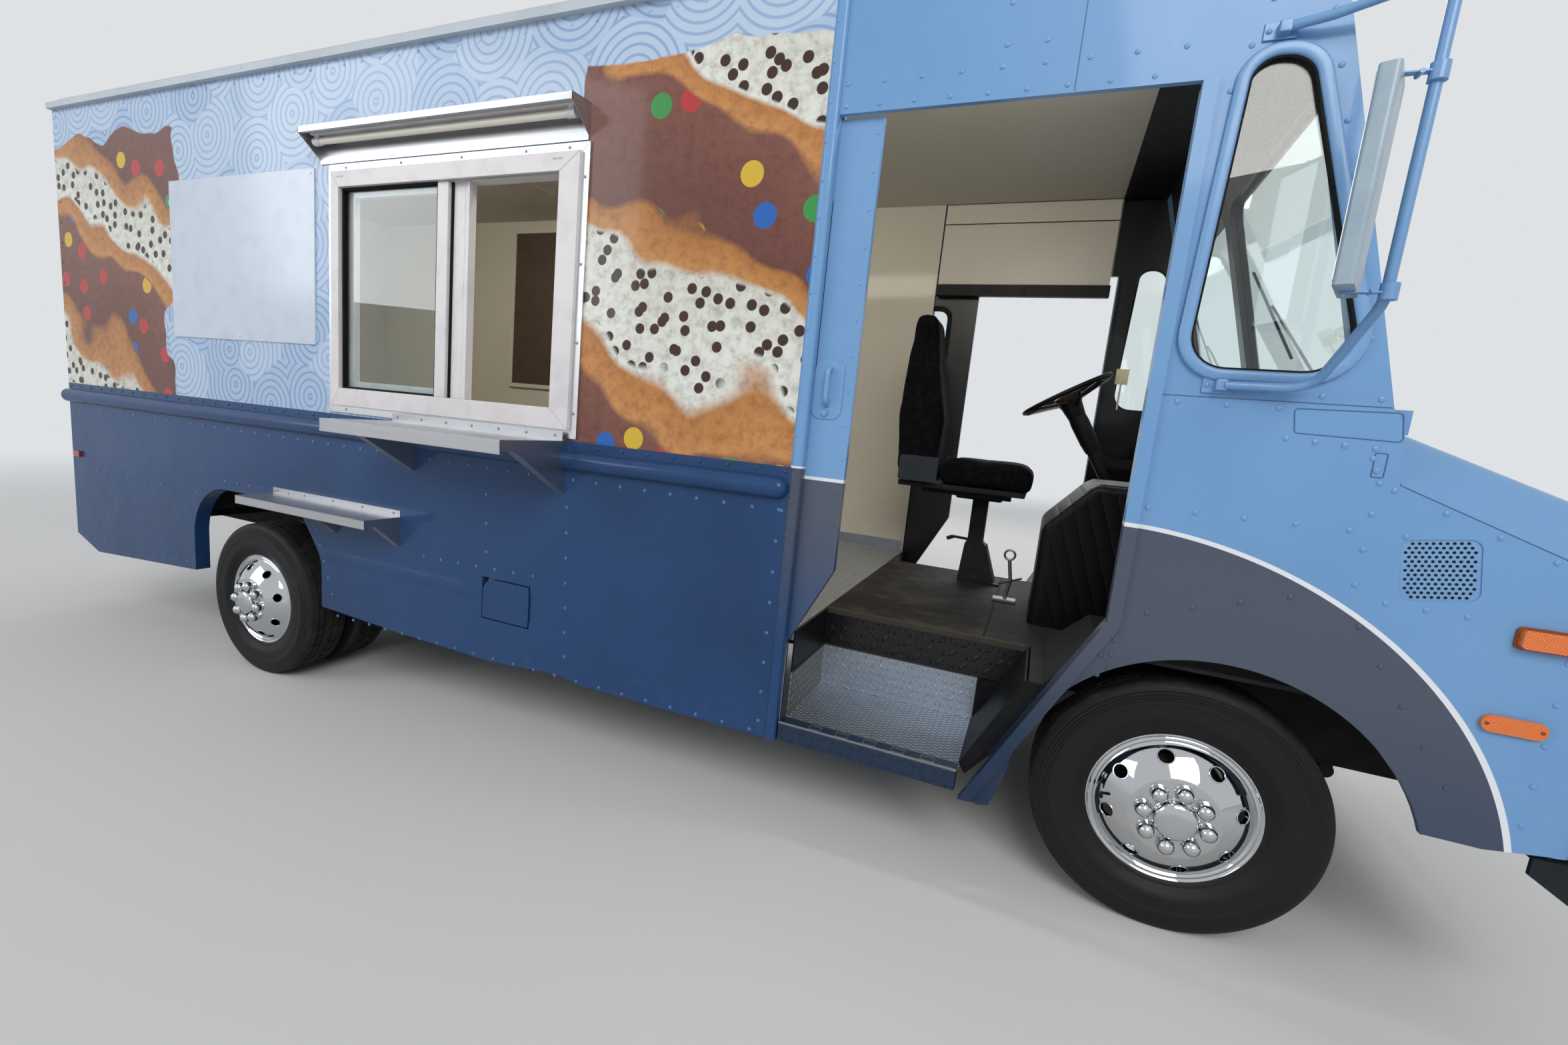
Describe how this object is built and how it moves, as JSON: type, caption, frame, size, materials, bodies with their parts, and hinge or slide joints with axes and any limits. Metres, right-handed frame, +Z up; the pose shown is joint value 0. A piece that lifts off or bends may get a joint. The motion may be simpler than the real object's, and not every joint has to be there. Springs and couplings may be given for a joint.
{
  "type": "food truck",
  "caption": "Food truck on a step van body with a serving window, awning and shelves, sliding cab doors and dual rear wheels.",
  "frame": {"origin": "on the floor under the centre of the overall box", "axes": "+X towards the nose, +Y to the driver's side, +Z up"},
  "size_m": [6.8182, 2.7931, 3.0206],
  "materials": {
    "blue_paint": "gloss",
    "slate_paint": "satin",
    "wrap_paint": "satin",
    "white_panel": "gloss",
    "roof_white": "satin",
    "frame_black": "satin",
    "cast_black": "rough",
    "bright_plate": "satin",
    "stainless": "brushed",
    "window_alu": "satin",
    "clear_glass": "clear",
    "amber_lens": "gloss",
    "red_lens": "gloss",
    "lamp_lens": "polished",
    "chrome": "polished",
    "tyre_rubber": "matt",
    "black_plastic": "matt",
    "black_cloth": "soft",
    "floor_dark": "worn"
  },
  "bodies": {
    "body": {"frame_rails": "frame_black", "cross_members": "frame_black", "front_axle": "cast_black", "rear_axle": "cast_black", "leaf_springs": "cast_black", "engine": "cast_black", "driveshaft": "cast_black", "fuel_tank": "frame_black", "exhaust": "cast_black", "cab_floor": "floor_dark", "load_floor": "roof_white", "wheel_boxes": "bright_plate", "step_wells": "bright_plate", "load_wall_right": "wrap_paint", "load_wall_left": "wrap_paint", "cab_side_right": "blue_paint", "cab_side_left": "blue_paint", "windscreen_frame": "blue_paint", "roof": "roof_white", "rear_frame": "wrap_paint", "nose_panel": "blue_paint", "grille": "frame_black", "headlamps": "lamp_lens", "amber_lamps": "amber_lens", "tail_lamps": "red_lens", "bumpers": "frame_black", "serving_window_frame": "window_alu", "window_glass": "clear_glass", "awning": "stainless", "shelves": "stainless", "rub_rails": "slate_paint", "menu_board": "white_panel", "dashboard": "black_plastic", "seat_pedestal": "frame_black", "seat_cushion": "black_cloth", "seat_back": "black_cloth", "engine_cover": "black_plastic", "mirrors": "blue_paint"},
    "knuckle_right": {"knuckle_right": "cast_black"},
    "knuckle_left": {"knuckle_left": "cast_black"},
    "front_wheel_right": {"front_tyre_right": "tyre_rubber", "front_rim_right": "chrome"},
    "front_wheel_left": {"front_tyre_left": "tyre_rubber", "front_rim_left": "chrome"},
    "rear_wheels_right": {"rear_tyres_right": "tyre_rubber", "rear_rims_right": "chrome"},
    "rear_wheels_left": {"rear_tyres_left": "tyre_rubber", "rear_rims_left": "chrome"},
    "cab_door_right": {"cab_door_right": "blue_paint", "door_glass_right": "clear_glass"},
    "cab_door_left": {"cab_door_left": "blue_paint", "door_glass_left": "clear_glass"},
    "rear_door_right": {"rear_door_right": "wrap_paint"},
    "rear_door_left": {"rear_door_left": "wrap_paint"},
    "hood": {"hood": "blue_paint"},
    "fuel_door": {"fuel_door": "slate_paint"},
    "steering_wheel": {"steering_wheel": "black_plastic"}
  },
  "joints": [
    {"name": "steer_right", "type": "hinge", "parent": "body", "child": "knuckle_right", "pos_m": [2.4986, -0.716, 0.386], "axis": [0.0253, 0, 0.9997], "range_deg": [-32, 32]},
    {"name": "steer_left", "type": "hinge", "parent": "body", "child": "knuckle_left", "pos_m": [2.4986, 0.716, 0.386], "axis": [0.0253, 0, 0.9997], "range_deg": [-32, 32]},
    {"name": "front_wheel_right_spin", "type": "hinge", "parent": "knuckle_right", "child": "front_wheel_right", "pos_m": [2.4986, -0.868, 0.386], "axis": [0, 1, 0], "continuous": true},
    {"name": "rear_wheels_right_spin", "type": "hinge", "parent": "body", "child": "rear_wheels_right", "pos_m": [-1.49068, -1.002, 0.386], "axis": [0, 1, 0], "continuous": true},
    {"name": "front_wheel_left_spin", "type": "hinge", "parent": "knuckle_left", "child": "front_wheel_left", "pos_m": [2.4986, 0.868, 0.386], "axis": [0, 1, 0], "continuous": true},
    {"name": "rear_wheels_left_spin", "type": "hinge", "parent": "body", "child": "rear_wheels_left", "pos_m": [-1.49068, 1.002, 0.386], "axis": [0, 1, 0], "continuous": true},
    {"name": "steering_wheel_turn", "type": "hinge", "parent": "body", "child": "steering_wheel", "pos_m": [2.10089, 0.45, 1.66648], "axis": [-0.4932, 0, 0.8699], "range_deg": [-576, 576]},
    {"name": "cab_door_right_slide", "type": "slide", "parent": "body", "child": "cab_door_right", "axis": [0.9997, 0, -0.0253], "range_m": [0, 0.798]},
    {"name": "cab_door_left_slide", "type": "slide", "parent": "body", "child": "cab_door_left", "axis": [0.9997, 0, -0.0253], "range_m": [-0.112, 0.686]},
    {"name": "rear_door_right_swing", "type": "hinge", "parent": "body", "child": "rear_door_right", "pos_m": [-3.27231, -0.724, 1.64751], "axis": [0.0253, 0, 0.9997], "range_deg": [0, 100]},
    {"name": "rear_door_left_swing", "type": "hinge", "parent": "body", "child": "rear_door_left", "pos_m": [-3.27231, 0.724, 1.64751], "axis": [-0.0253, 0, -0.9997], "range_deg": [0, 100]},
    {"name": "hood_lift", "type": "hinge", "parent": "body", "child": "hood", "pos_m": [2.83953, 0, 1.52435], "axis": [0, -1, 0], "range_deg": [0, 55]},
    {"name": "fuel_door_swing", "type": "hinge", "parent": "body", "child": "fuel_door", "pos_m": [0.19887, -1.076, 0.6233], "axis": [0.0253, 0, 0.9997], "range_deg": [0, 95]}
  ],
  "couplings": [
    {"joint": "steer_left", "follows": "steer_right", "ratio": 1},
    {"joint": "steering_wheel_turn", "follows": "steer_right", "ratio": 18}
  ]
}
